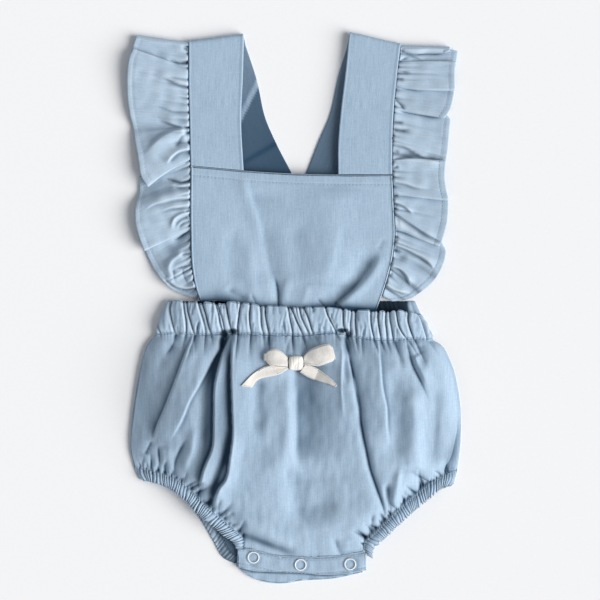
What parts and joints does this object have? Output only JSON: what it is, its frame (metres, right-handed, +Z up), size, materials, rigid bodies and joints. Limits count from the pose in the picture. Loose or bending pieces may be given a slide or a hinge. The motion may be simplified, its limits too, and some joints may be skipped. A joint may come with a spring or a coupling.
{
  "type": "baby romper",
  "caption": "Baby romper laid flat: bib top with ruffled straps crossed behind, gathered waist, puffed bloomers with elastic leg holes, snap crotch and small tape bow.",
  "frame": {"origin": "on the surface it lies on, under the middle of the garment's outline", "axes": "+X to the right across the garment as seen from its front, +Y from the crotch up to the shoulders, +Z up off the surface, out of the garment's front"},
  "size_m": [0.267, 0.4405, 0.0281],
  "materials": {
    "chambray": "soft washed cotton chambray, matt",
    "cotton_tape": "matt off-white woven tape",
    "snap_enamel": "white enamel, satin"
  },
  "bodies": {
    "root": {"front_bib": "chambray", "strap_left": "chambray", "strap_right": "chambray", "ruffle_left": "chambray", "ruffle_right": "chambray", "waistband_front": "chambray", "waistband_back": "chambray", "bloomer_front": "chambray", "bloomer_back": "chambray", "leg_casing_front_left": "chambray", "leg_casing_front_right": "chambray", "leg_casing_back_left": "chambray", "leg_casing_back_right": "chambray", "placket_front": "chambray", "placket_back": "chambray", "bow_knot": "cotton_tape", "bow_loop_left": "cotton_tape", "bow_loop_right": "cotton_tape", "bow_tail_left": "cotton_tape", "bow_tail_right": "cotton_tape", "snap_ring_1": "snap_enamel", "snap_ring_2": "snap_enamel", "snap_ring_3": "snap_enamel"}
  },
  "joints": []
}
